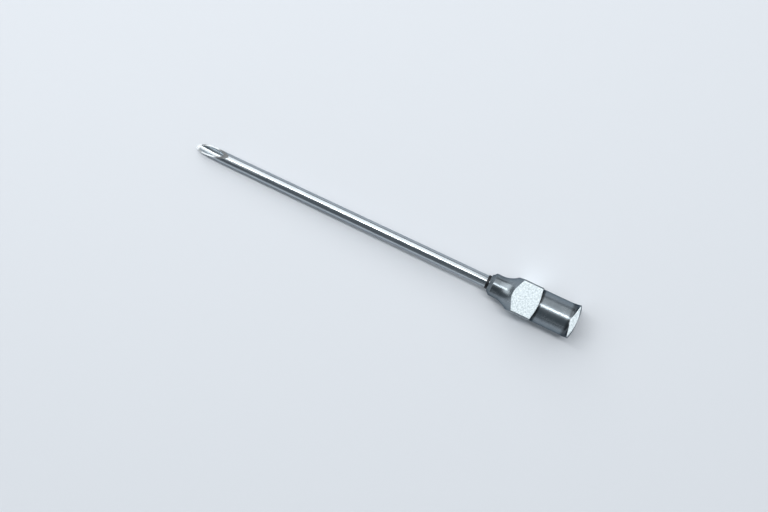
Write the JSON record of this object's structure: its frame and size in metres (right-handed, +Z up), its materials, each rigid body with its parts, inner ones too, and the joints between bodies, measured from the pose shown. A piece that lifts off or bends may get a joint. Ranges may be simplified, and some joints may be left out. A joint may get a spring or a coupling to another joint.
{
  "type": "reusable epidural needle",
  "caption": "Straight steel cannula with a curved, bevelled open tip, held in a plated hub with a hollow neck, a square grip block, a round barrel and a square Luer-lock flange.",
  "frame": {"origin": "on the table, under the middle of the needle's length, as the needle comes to rest on its bend and its grip block", "axes": "+X runs along the needle from its tip to its socket, +Y across it and +Z up. The hub's flats face Y and, but for the needle's tilt of 1.9 degrees, Z"},
  "size_m": [0.0723, 0.0058, 0.0061],
  "materials": {
    "nickel_plate": "polished",
    "polished_steel": "polished",
    "dark_solder": "satin"
  },
  "bodies": {
    "root": {"hub": "nickel_plate", "cannula": "polished_steel", "solder_collar": "dark_solder"}
  },
  "joints": []
}
